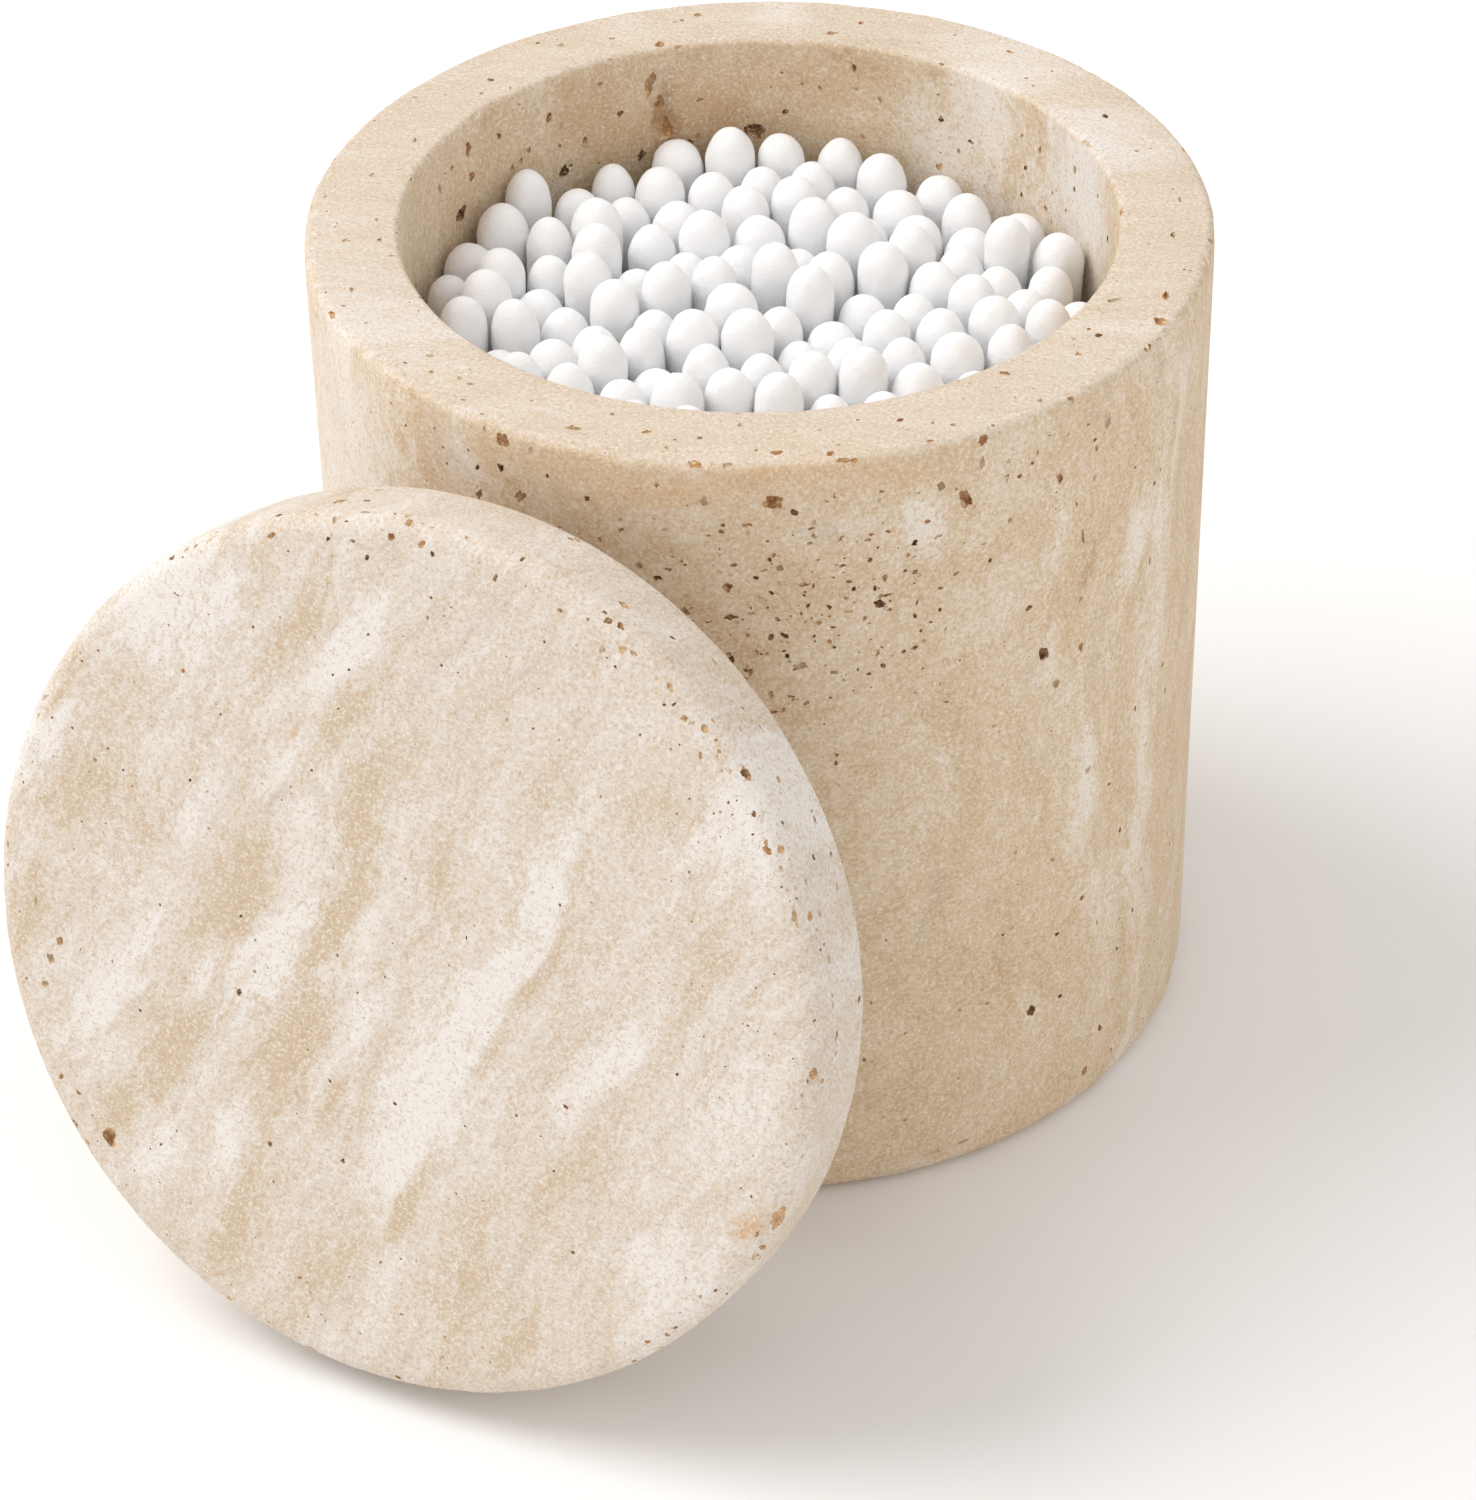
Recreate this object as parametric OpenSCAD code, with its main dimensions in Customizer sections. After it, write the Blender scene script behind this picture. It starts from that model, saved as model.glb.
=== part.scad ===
// Cotton swab holder: a turned travertine cup packed with upright cotton swabs,
// and its travertine lid, taken off and leaning against the cup's front.
// Millimetres. The origin is the centre of the cup's base on the floor, +Z is up
// and the lid leans on the -Y side. Nothing here is hinged: the lid only leans and
// the swabs only stand in the cup.

/* [Cup] */
// Outside diameter of the cup
cup_d = 100; // [96:1:106]
// Height of the cup
cup_h = 100; // [96:1:106]
// Diameter of the well that holds the swabs
well_d = 79; // [74:0.5:84]
// Thickness of the stone under the well
floor_t = 14; // [10:0.5:14]
// Rounding of the rim's outer edge
rim_round = 1.2; // [0.6:0.1:2]
// Rounding of the rim's inner edge
mouth_round = 0.8; // [0.4:0.1:1.6]
// Rounding of the edge the cup stands on
base_round = 2.5; // [1.5:0.5:4]
// Rounding at the bottom of the well
well_round = 2; // [1:0.5:2.5]

/* [Lid] */
// Diameter of the lid's disc
lid_d = 98.5; // [94:0.5:102]
// Thickness of the lid's disc
lid_t = 11.5; // [9:0.5:14]
// Depth of the locating ring under the disc
ring_h = 8; // [6:0.5:10]
// Play of the locating ring in the well, on the radius
ring_play = 1; // [0.6:0.1:1.5]
// Rounding of the lid's top edge
face_round = 2.5; // [1.5:0.5:3.5]
// Rounding of the lid's other edges
back_round = 1; // [0.5:0.1:1.5]

/* [Leaning lid] */
// How far the lid leans from upright, in degrees
lean = 16.3; // [12:0.1:20]
// How far the lid stands to one side of the cup's axis
lid_side = -5; // [-8:0.5:8]
// Gap left where the lid's ring meets the cup
lean_gap = 0.1; // [0.05:0.05:0.3]

/* [Swabs] */
// Mean length of a swab
swab_l = 75; // [72:0.5:76]
// Spread of the swabs' lengths
swab_spread = 4.5; // [0:0.5:5]
// Diameter of a cotton tip at its fattest
tip_d = 5.8; // [5.4:0.1:6]
// How much fatter or thinner than that a tip may be, as a share
tip_vary = 0.08; // [0:0.01:0.1]
// Length of a cotton tip
tip_l = 15; // [12:0.5:17]
// Distance of the fattest section from the tip's nose
fat_at = 4; // [3.4:0.1:4.6]
// Diameter of the paper stick
stick_d = 2.4; // [2:0.1:2.8]
// How far the stick reaches into the cotton, short of the tip's nose
nose_t = 3; // [2:0.5:4]

/* [Packing] */
// Share of the well's area that the swabs' fattest sections fill
fill = 0.72; // [0.5:0.01:0.74]
// How far swabs are stirred out of an even spread
stir = 1.6; // [0.2:0.1:2]
// Which stirring is used
stirring = 12; // [1:1:40]
// Place where one swab has been taken out, across
taken_x = -7.8; // [-20:0.2:20]
// Place where one swab has been taken out, along
taken_y = -1.9; // [-20:0.2:20]

/* [Stone] */
// Radius of the largest voids in the stone
void_r = 1.1; // [0.6:0.1:1.5]
// How many voids open on the cup's outer wall
wall_voids = 20; // [4:2:30]
// How many voids open on the lid's face
lid_voids = 12; // [4:2:16]

/* [Hidden] */
// Steps of a rounded edge
edge_steps = 5;
// Segments of a full turn on the stone and on the swabs
stone_fn = 96;
swab_fn = 24;

// Radii used by more than one piece
cup_r = cup_d / 2;
well_r = well_d / 2;
lid_r = lid_d / 2;
ring_r = well_r - ring_play;
stick_r = stick_d / 2;

// Clearance under a standing swab, between swabs, at the wall, and of the stick in its tip
rest_gap = 0.2;
swab_gap = 0.12;
wall_gap = 0.3;
glue_gap = 0.03;

// A quarter round as points: centre, radius, first and last angle
function round_edge(x, y, r, a, b) =
    [for (i = [0:edge_steps]) let (t = a + (b - a) * i / edge_steps) [x + r * cos(t), y + r * sin(t)]];

// Stone outlines, revolved about the piece's axis

cup_outline = concat(
    [[0, 0]],
    round_edge(cup_r - base_round, base_round, base_round, -90, 0),
    round_edge(cup_r - rim_round, cup_h - rim_round, rim_round, 0, 90),
    round_edge(well_r + mouth_round, cup_h - mouth_round, mouth_round, 90, 180),
    round_edge(well_r - well_round, floor_t + well_round, well_round, 0, -90),
    [[0, floor_t]]
);

// Height 0 is the underside of the lid's disc
lid_outline = concat(
    [[0, -ring_h]],
    round_edge(ring_r - back_round, back_round - ring_h, back_round, -90, 0),
    [[ring_r, 0]],
    round_edge(lid_r - back_round, back_round, back_round, -90, 0),
    round_edge(lid_r - face_round, lid_t - face_round, face_round, 0, 90),
    [[0, lid_t]]
);

// Height of the underside's centre that brings the lowest edge to the floor
lid_lift = max([for (p = lid_outline) p[0] * cos(lean) - p[1] * sin(lean)]);

// Distance from the cup's axis at which a ring of the lid's outline meets the cup's wall
function reach(p) = max([for (a = [-90:1:90])
    let (x = lid_side + p[0] * sin(a), side = (cup_r + lean_gap) * (cup_r + lean_gap) - x * x)
    side < 0 ? 0 : sqrt(side) + p[0] * cos(a) * sin(lean) - p[1] * cos(lean)]);
lid_out = max([for (p = lid_outline) if (p[0] > 1) reach(p)]);

// Voids of the stone: a stirred spread on both pieces, and on the cup's front the large
// ones that stand out, each with its turn about the axis, share of the height and share of
// void_r. A void's centre lies a little off the surface, so it opens less than half a ball.
void_out = 0.3;
void_turn = rands(0, 1, 120, 5);
function void_at(i, k) = void_turn[(i * 3 + k) % 120];
function void_size(i) = void_r * (0.4 + 0.5 * pow(void_at(i, 2), 2));
front_voids = [[-96, 0.96, 0.8], [-62, 0.95, 1], [-39, 0.92, 0.9], [-50, 0.81, 0.7],
    [-27, 0.68, 1], [-19, 0.31, 0.8], [-27, 0.19, 0.9], [-23, 0.28, 0.7]];

// Packing of the swabs

reach_r = well_r - wall_gap - tip_d / 2;
planned = floor(fill * pow((well_r - wall_gap) / (tip_d / 2), 2));
room = reach_r * sqrt(PI / planned);

// An even spread over the well, each swab a golden angle further round than the last
golden = 180 * (3 - sqrt(5));
even = [for (i = [0:planned - 1])
    reach_r * sqrt((i + 0.5) / planned) * [cos(golden * i), sin(golden * i)]];
seats = [for (p = even) if (norm(p - [taken_x, taken_y]) > 0.55 * room) p];
count = len(seats);

// Swabs are grouped in rows across the well, front to back
row_count = 13;
function row_of(p) = min(row_count - 1, floor((p[1] + reach_r) / (2 * reach_r) * row_count));
function row_swabs(k) = [for (i = [0:count - 1]) if (row_of(seats[i]) == k) i];

near = [for (i = [0:count - 1])
    [for (j = [0:count - 1]) if (j != i && norm(seats[i] - seats[j]) < room * 2.2) j]];

// Each swab's stir, length and fatness come from six numbers of its own
jog = rands(-1, 1, 6 * count, stirring);
function stirred(i, a, b) = stir * [jog[6 * i + a], jog[6 * i + b]];
function swab_length(i) = swab_l + swab_spread * jog[6 * i + 4] / 2;
fat = [for (i = [0:count - 1]) tip_d / 2 * (1 + tip_vary * jog[6 * i + 5])];

// Swabs too close to each other push each other away, and the wall holds them in
push_gap = 1.5 * swab_gap;
settling = 80;
function total(vectors) = [for (v = vectors) 1] * vectors;
function held(p, most) = norm(p) > most ? p * most / norm(p) : p;
function pushes(spots, i) = [for (j = near[i])
    let (away = spots[i] - spots[j], d = norm(away), need = fat[i] + fat[j] + push_gap)
    if (d < need) away * (need - d) / (2 * d)];
function settled(spots, turns) = turns == 0 ? spots :
    settled([for (i = [0:count - 1])
        let (m = pushes(spots, i))
        held(len(m) == 0 ? spots[i] : spots[i] + total(m), well_r - wall_gap - fat[i])], turns - 1);

high = settled([for (i = [0:count - 1]) seats[i] + stirred(i, 0, 1)], settling);
low = settled([for (i = [0:count - 1]) seats[i] + stirred(i, 0, 1) + stirred(i, 2, 3)], settling);

// Each swab's line runs through its low and high spots
swab_foot = floor_t + rest_gap;
high_z = swab_foot + swab_l - fat_at;
low_z = swab_foot + fat_at;
function slope(i) = (high[i] - low[i]) / (high_z - low_z);
function spot(i, z) = low[i] + slope(i) * (z - low_z);
function foot(i) = spot(i, swab_foot);

// The tips are made no fatter than the closest pair of swabs allows
function closest(z) = min([for (i = [0:count - 1]) min([for (j = near[i])
    (norm(spot(i, z) - spot(j, z)) - swab_gap) / (fat[i] + fat[j])])]);
squeeze = min(1, closest(low_z), closest(high_z - swab_spread / 2), closest(high_z + swab_spread / 2));
tail_r = stick_r + 0.35;

module along(i) {
    s = slope(i);
    translate([foot(i)[0], foot(i)[1], swab_foot])
        rotate([0, atan(norm(s)), atan2(s[1], s[0])])
            children();
}

// A cotton tip's outline from its nose: a blunt egg-shaped nose, then a long taper to the
// stick, with the stick's blind hole inside
function tip_outline(r) = concat(
    [for (a = [0:15:90]) [r * sin(a), fat_at * (1 - cos(a))]],
    [for (i = [1:4]) let (t = i / 4)
        [r - (r - tail_r) * t * t, fat_at + (tip_l - fat_at) * t]],
    [[stick_r + glue_gap, tip_l], [stick_r + glue_gap, nose_t - glue_gap], [0, nose_t - glue_gap]]
);

module tip(i) {
    rotate_extrude($fn = swab_fn) polygon(tip_outline(fat[i] * squeeze));
}

module sticks_row(k) {
    color("white")
        for (i = row_swabs(k))
            along(i)
                translate([0, 0, nose_t])
                    cylinder(r = stick_r, h = swab_length(i) - 2 * nose_t, $fn = swab_fn);
}

module upper_tips_row(k) {
    color("white")
        for (i = row_swabs(k))
            along(i)
                translate([0, 0, swab_length(i)])
                    mirror([0, 0, 1])
                        tip(i);
}

module lower_tips_row(k) {
    color("white")
        for (i = row_swabs(k))
            along(i)
                tip(i);
}

// Stone pieces

module cup() {
    color("tan")
        difference() {
            rotate_extrude($fn = stone_fn) polygon(cup_outline);
            for (i = [0:wall_voids - 1])
                rotate([0, 0, 360 * (i + void_at(i, 0)) / wall_voids])
                    translate([cup_r + void_out * void_size(i), 0, cup_h * (0.08 + 0.84 * void_at(i, 1))])
                        sphere(r = void_size(i), $fn = 16);
            for (v = front_voids)
                rotate([0, 0, v[0]])
                    translate([cup_r + void_out * void_r * v[2], 0, cup_h * v[1]])
                        sphere(r = void_r * v[2], $fn = 16);
        }
}

module lid() {
    color("wheat")
        translate([lid_side, -lid_out, lid_lift])
            rotate([90 - lean, 0, 0])
                difference() {
                    rotate_extrude($fn = stone_fn) polygon(lid_outline);
                    for (i = [0:lid_voids - 1])
                        rotate([0, 0, 360 * (i + void_at(i + 7, 0)) / lid_voids])
                            translate([(lid_r - 8) * sqrt(0.04 + 0.96 * void_at(i + 7, 1)), 0,
                            lid_t + void_out * void_size(i + 7)])
                                sphere(r = void_size(i + 7), $fn = 16);
                }
}

function two(k) = k < 9 ? str("0", k + 1) : str(k + 1);
rows = [for (k = [0:row_count - 1]) k];

cup();
lid();
for (k = rows)
    sticks_row(k);
for (k = rows)
    upper_tips_row(k);
for (k = rows)
    lower_tips_row(k);
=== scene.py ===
import math
import random

import bmesh
import bpy
import numpy as np
from mathutils import Euler, Matrix, Vector, noise


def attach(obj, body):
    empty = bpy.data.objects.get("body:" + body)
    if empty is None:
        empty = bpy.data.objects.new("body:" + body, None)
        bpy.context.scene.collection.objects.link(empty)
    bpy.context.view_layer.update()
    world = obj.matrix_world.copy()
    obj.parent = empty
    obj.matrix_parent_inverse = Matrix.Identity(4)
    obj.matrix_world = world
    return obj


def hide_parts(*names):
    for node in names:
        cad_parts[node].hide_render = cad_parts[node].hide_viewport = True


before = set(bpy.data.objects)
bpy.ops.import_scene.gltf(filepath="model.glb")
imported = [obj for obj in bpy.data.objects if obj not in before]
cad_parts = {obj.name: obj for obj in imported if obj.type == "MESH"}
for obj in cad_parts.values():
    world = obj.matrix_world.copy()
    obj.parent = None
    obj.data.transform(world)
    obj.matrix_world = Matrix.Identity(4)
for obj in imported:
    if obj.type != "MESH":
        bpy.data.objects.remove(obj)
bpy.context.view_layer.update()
MM = 0.001

# ---------------------------------------------------------------- sizes of the CAD part, in mm
CUP_R = 50.0
CUP_H = 100.0
WELL_R = 39.5
FLOOR_T = 14.0
LID_R = 49.25
LID_T = 11.5
RING_R = 38.5
RING_H = 8.0
LEAN = math.radians(16.3)
LID_AT = Vector((-5.0, -68.274, 47.03))
# radii of the rounded edges
BASE_ROUND = 2.5
RIM_ROUND = 1.2
MOUTH_ROUND = 0.8
WELL_ROUND = 2.0
RING_ROUND = 1.0
LID_UNDER_ROUND = 1.0
LID_TOP_ROUND = 2.5

UP = Vector((0, 0, 1))
lid_place = Matrix.Translation(LID_AT) @ Matrix.Rotation(math.pi / 2 - LEAN, 4, "X")
lid_turn = lid_place.to_3x3()
LID_N = lid_turn @ UP          # the way its face looks

# ---------------------------------------------------------------- camera
EYE = Vector((202.70, -410.35, 369.67))
SIGHT_RIGHT = Vector((0.89826, 0.43919, -0.01534))
SIGHT_DOWN = Vector((0.25256, -0.54449, -0.79984))
SIGHT_AHEAD = Vector((-0.35964, 0.71459, -0.60002))
FOCAL = 4805.9       # pixels of the photograph
PHOTO_W, PHOTO_H = 1476.0, 1500.0
PX = 8.6             # pixels of the photograph in a millimetre at the front of the cup
SENSOR = 36.0        # mm
NEAR, FAR = 0.02, 20.0

cam_data = bpy.data.cameras.new("photo_camera")
cam = bpy.data.objects.new("photo_camera", cam_data)
bpy.context.scene.collection.objects.link(cam)
bpy.context.scene.camera = cam
cam_data.sensor_width = SENSOR
cam_data.lens = FOCAL / PHOTO_H * SENSOR
cam_data.clip_start, cam_data.clip_end = NEAR, FAR
turn = Matrix((SIGHT_RIGHT, -SIGHT_DOWN, -SIGHT_AHEAD)).transposed()
cam.rotation_mode = "QUATERNION"
cam.rotation_quaternion = turn.to_quaternion()
cam.location = EYE * MM


def sight(x, y):
    """Direction from the camera through a place on the photograph."""
    right = SIGHT_RIGHT * ((x - PHOTO_W / 2) / FOCAL)
    down = SIGHT_DOWN * ((y - PHOTO_H / 2) / FOCAL)
    return (right + down + SIGHT_AHEAD).normalized()


def on_wall(x, y, radius, far=False):
    """Place (mm) and outward normal on an upright cylinder under that place of the photograph."""
    d = sight(x, y)
    a = d.x * d.x + d.y * d.y
    b = EYE.x * d.x + EYE.y * d.y
    c = EYE.x * EYE.x + EYE.y * EYE.y - radius * radius
    root = math.sqrt(max(0.0, b * b - a * c))
    p = EYE + d * ((-b + root if far else -b - root) / a)
    n = Vector((p.x, p.y, 0)).normalized()
    return p, (-n if far else n)


def on_plane(x, y, point, normal):
    """The same on a plane through a point."""
    d = sight(x, y)
    return EYE + d * ((point - EYE).dot(normal) / d.dot(normal)), normal


def on_rim(x, y):
    """The same on the cup's rim."""
    return on_plane(x, y, UP * CUP_H, UP)


FACE_MARGIN = 1.5    # mm at the edge of the lid's face that count as its side
SIDE_SINK = 0.2      # mm that the rounded side lies within the lid's radius
SIDE_MARGIN = 1.0    # mm at the side's two edges that are kept free


def on_lid(x, y):
    """The same on the lid's face, or on its side where the face ends."""
    p, n = on_plane(x, y, lid_place @ Vector((0, 0, LID_T)), LID_N)
    to_lid = lid_place.inverted()
    q = to_lid @ p
    if math.hypot(q.x, q.y) <= LID_R - FACE_MARGIN:
        return p, n
    d = to_lid.to_3x3() @ sight(x, y)
    e = to_lid @ EYE
    a = d.x * d.x + d.y * d.y
    b = e.x * d.x + e.y * d.y
    c = e.x * e.x + e.y * e.y - (LID_R - SIDE_SINK) ** 2
    root = b * b - a * c
    if root <= 0:
        return p, n
    q = e + d * ((-b - math.sqrt(root)) / a)
    q.z = min(max(q.z, SIDE_MARGIN), LID_T - SIDE_MARGIN)
    return lid_place @ q, lid_turn @ Vector((q.x, q.y, 0)).normalized()


# ---------------------------------------------------------------- materials
class Net:
    """A material's nodes, written as expressions."""

    def __init__(self, name):
        self.material = bpy.data.materials.new(name)
        self.material.use_nodes = True
        self.tree = self.material.node_tree
        self.tree.nodes.clear()

    def node(self, kind, **settings):
        n = self.tree.nodes.new(kind)
        for k, v in settings.items():
            setattr(n, k, v)
        return n

    def put(self, socket, value):
        if isinstance(value, bpy.types.NodeSocket):
            self.tree.links.new(value, socket)
        else:
            socket.default_value = value

    def math(self, op, a, b=0.0, c=0.0, clamp=False):
        n = self.node("ShaderNodeMath", operation=op, use_clamp=clamp)
        for s, v in zip(n.inputs, (a, b, c)):
            self.put(s, v)
        return n.outputs[0]

    def vector(self, op, a, b=(0, 0, 0), c=(0, 0, 0), out=0):
        n = self.node("ShaderNodeVectorMath", operation=op)
        for s, v in zip(n.inputs, (a, b, c)):
            self.put(s, v)
        return n.outputs[out]

    def scaled(self, v, s):
        n = self.node("ShaderNodeVectorMath", operation="SCALE")
        self.put(n.inputs[0], v)
        self.put(n.inputs["Scale"], s)
        return n.outputs[0]

    def mapped(self, v, loc=(0, 0, 0), rot=(0, 0, 0), scale=(1, 1, 1), kind="POINT"):
        n = self.node("ShaderNodeMapping", vector_type=kind)
        self.put(n.inputs["Vector"], v)
        n.inputs["Location"].default_value = loc
        n.inputs["Rotation"].default_value = rot
        n.inputs["Scale"].default_value = scale
        return n.outputs[0]

    def noise(self, v, scale, detail=2.0, rough=0.5, distort=0.0, colour=False):
        n = self.node("ShaderNodeTexNoise")
        self.put(n.inputs["Vector"], v)
        n.inputs["Scale"].default_value = scale
        n.inputs["Detail"].default_value = detail
        n.inputs["Roughness"].default_value = rough
        n.inputs["Distortion"].default_value = distort
        return n.outputs["Color" if colour else "Fac"]

    def cells(self, v, scale):
        n = self.node("ShaderNodeTexVoronoi")
        self.put(n.inputs["Vector"], v)
        n.inputs["Scale"].default_value = scale
        return n

    def span(self, value, lo, hi, out_lo=0.0, out_hi=1.0, kind="SMOOTHSTEP"):
        n = self.node("ShaderNodeMapRange", interpolation_type=kind)
        for s, v in zip(n.inputs, (value, lo, hi, out_lo, out_hi)):
            self.put(s, v)
        return n.outputs[0]

    def mix(self, fac, a, b):
        n = self.node("ShaderNodeMix", data_type="RGBA")
        self.put(n.inputs[0], fac)
        # the node has a pair of inputs for each type of data: 6 and 7 are the colours
        for socket, colour in ((n.inputs[6], a), (n.inputs[7], b)):
            self.put(socket, colour if isinstance(colour, bpy.types.NodeSocket) else (*colour, 1.0))
        return n.outputs[2]

    def ramp(self, fac, stops):
        n = self.node("ShaderNodeValToRGB")
        while len(n.color_ramp.elements) < len(stops):
            n.color_ramp.elements.new(0.5)
        for e, (at, colour) in zip(n.color_ramp.elements, stops):
            e.position = at
            e.color = (*colour, 1.0)
        self.put(n.inputs[0], fac)
        return n.outputs[0]

    def bump(self, height, distance, strength):
        n = self.node("ShaderNodeBump")
        self.put(n.inputs["Height"], height)
        n.inputs["Distance"].default_value = distance
        n.inputs["Strength"].default_value = strength
        return n.outputs[0]

    def finish(self, **inputs):
        """Ends the material with its shader, whose inputs are named with _ for a space."""
        shader = self.node("ShaderNodeBsdfPrincipled")
        for k, v in inputs.items():
            self.put(shader.inputs[k.replace("_", " ")], v)
        out = self.node("ShaderNodeOutputMaterial")
        self.tree.links.new(shader.outputs[0], out.inputs[0])
        return self.material


def rgb(r, g, b):
    """A colour as seen, 0 to 255, to the linear values that a shader takes."""
    return tuple((c / 255) / 12.92 if c <= 10 else ((c / 255 + 0.055) / 1.055) ** 2.4
                 for c in (r, g, b))


def mm_space(net):
    """The piece's place in the row frame, in mm."""
    return net.scaled(net.node("ShaderNodeTexCoord").outputs["Object"], 1000.0)


# how far, in mm, a broad and a fine noise bend the beds
WAVE_MM, RIPPLE_MM = 11.0, 2.6
# the other noises' scale across and along the beds, smaller along them, which draws them out
BED_STRETCH = (1.0, 0.22, 0.28)
CLOUD_STRETCH = (1.0, 0.42, 0.5)
TONE_STEPS = (0.0, 0.27, 0.52, 0.78, 1.0)
PATCH_SOFT = 0.85    # width of the band over which a patch ends, as a part of its size
PALE_TOP = 0.42      # how far the sawn top is drawn to its paler colour


def stone(name, own, bed_turn, tones, patches, stains_and_sheen, contrast, sugar, seed, pale_top=None):
    """Travertine.

    own: the piece's own space, a function of the net
    bed_turn: turns that space so that X is the beds' normal
    tones: colours from the darkest to the lightest
    patches: lighter or darker ground as (centre, half sizes across and along the beds, strength); on the lid a
    few narrow dark ones are painted shade of a low step
    stains_and_sheen: the same with a colour before the strength: stains, and on the cup's lit left side a
    painted sheen
    contrast: of the beds
    sugar: how much white speckle
    seed: where in the noise the piece lies
    pale_top: the colour that the sawn top is drawn to
    """
    net = Net(name)
    p = own(net)
    turn = Euler(bed_turn).to_matrix()
    bent = p
    for scale, detail, rough, amount in ((0.045, 1, 0.5, WAVE_MM), (0.25, 2, 0.65, RIPPLE_MM)):
        wave = net.vector("SUBTRACT", net.noise(p, scale, detail, rough, colour=True), (0.5, 0.5, 0.5))
        bent = net.vector("MULTIPLY_ADD", wave, (amount, amount, amount), bent)
    bed = net.mapped(bent, rot=bed_turn)
    q = net.vector("MULTIPLY_ADD", bed, BED_STRETCH, (seed, seed * 1.7, seed * 0.3))
    broad = net.noise(q, 0.085, 2, 0.5)
    middle = net.noise(q, 0.30, 4, 0.64)
    grain = net.noise(p, 1.7, 3, 0.75)
    fine = net.noise(q, 1.5, 3, 0.70)
    weights = (0.9 * contrast, 1.4 * contrast, 0.9, 1.2)
    tone = net.math("MULTIPLY_ADD", broad, weights[0], 0.5 - sum(weights) / 2)
    for part, weight in zip((middle, fine, grain), weights[1:]):
        tone = net.math("MULTIPLY_ADD", part, weight, tone)
    # the patches end over a soft band, made ragged by the noise
    cloud = net.vector("MULTIPLY", bed, CLOUD_STRETCH)
    ragged = net.math("MULTIPLY", net.noise(cloud, 0.55, 4, 0.84), 2.2 / PATCH_SOFT)
    for centre, size, strength in patches:
        near = patch(net, bed, turn, centre, size, ragged)
        tone = net.math("MULTIPLY_ADD", near, strength, tone)
    colour = net.ramp(tone, list(zip(TONE_STEPS, tones)))
    # grey, slightly see-through blotches
    blotch = net.span(net.noise(q, 0.21, 3, 0.6), 0.60, 0.67)
    blotch = net.math("MULTIPLY", blotch, net.span(grain, 0.40, 0.6))
    colour = net.mix(net.math("MULTIPLY", blotch, 0.36), colour, rgb(198, 184, 172))
    # thin ochre seams
    seam = net.math("ABSOLUTE", net.math("SUBTRACT", middle, 0.44))
    seam = net.math("MULTIPLY", net.span(seam, 0.012, 0.0), net.span(broad, 0.48, 0.56))
    colour = net.mix(net.math("MULTIPLY", seam, 0.40), colour, rgb(190, 154, 112))
    for centre, size, shade, strength in stains_and_sheen:
        near = patch(net, bed, turn, centre, size, ragged)
        colour = net.mix(net.math("MULTIPLY", near, strength), colour, shade)
    if pale_top is not None:
        up = net.node("ShaderNodeSeparateXYZ")
        net.put(up.inputs[0], net.node("ShaderNodeNewGeometry").outputs["Normal"])
        colour = net.mix(net.span(up.outputs[2], 0.35, 0.95, 0.0, PALE_TOP), colour, pale_top)
    # sugar: fine pale crystals in the darker beds
    crystal = net.span(net.noise(p, 2.6, 1, 0.5), 0.58, 0.68)
    crystal = net.math("MULTIPLY", crystal, net.span(tone, 0.62, 0.30))
    colour = net.mix(net.math("MULTIPLY", crystal, sugar), colour, rgb(238, 231, 220))
    # speckle of the honed surface
    speck = net.noise(p, 2.4, 2, 0.85)
    colour = net.mix(net.span(speck, 0.52, 0.70, 0.0, 0.55), colour, rgb(243, 237, 229))
    colour = net.mix(net.span(speck, 0.48, 0.30, 0.0, 0.60), colour, rgb(190, 162, 128))
    # pinholes: small voids painted as dark spots, their brown lining with painted shade inside the hole,
    # gathered in some beds
    pins = net.cells(p, 0.62)
    kind = net.node("ShaderNodeSeparateColor")
    net.put(kind.inputs[0], pins.outputs["Color"])
    size = net.span(kind.outputs[0], 0.80, 1.0, 0.0, 0.19, kind="LINEAR")
    size = net.math("MULTIPLY", size, net.span(broad, 0.44, 0.58, 0.35, 1.0))
    edge = net.math("MULTIPLY_ADD", grain, 0.16, net.math("SUBTRACT", pins.outputs["Distance"], 0.08))
    outside = net.math("SUBTRACT", edge, size)
    hole_and_shade_mask = net.span(outside, -0.02, -0.07)
    # each has a pale lip round it: in part a worn edge, in part a painted highlight on the lip
    lip_wear_and_highlight = net.math("MULTIPLY", net.span(outside, 0.10, 0.02), net.span(size, 0.0, 0.06))
    colour = net.mix(net.math("MULTIPLY", lip_wear_and_highlight, 0.55), colour, tones[-1])
    # painted shade: the holes have no depth, so their dark colour stands for the shade inside them as well as
    # their lining
    hole_lining_and_shade = net.mix(kind.outputs[1], rgb(104, 64, 34), rgb(186, 134, 86))
    colour = net.mix(net.math("MULTIPLY", hole_and_shade_mask, 0.85), colour, hole_lining_and_shade)
    bump = net.bump(net.noise(p, 3.2, 1, 0.7), 0.00009, 0.43)
    return net.finish(Base_Color=colour, Roughness=0.62, Normal=bump, Specular_IOR_Level=0.30)


def patch(net, bed, turn, centre, size, ragged):
    """1 in a ragged patch round a place, 0 away from it."""
    scale = [1 / s for s in size]
    offset = [-c * s for c, s in zip(turn @ Vector(centre), scale)]
    v = net.vector("MULTIPLY_ADD", bed, scale, offset)
    distance = net.vector("LENGTH", v, out=1)
    return net.math("MULTIPLY_ADD", distance, -1.0 / PATCH_SOFT, ragged, clamp=True)


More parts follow.
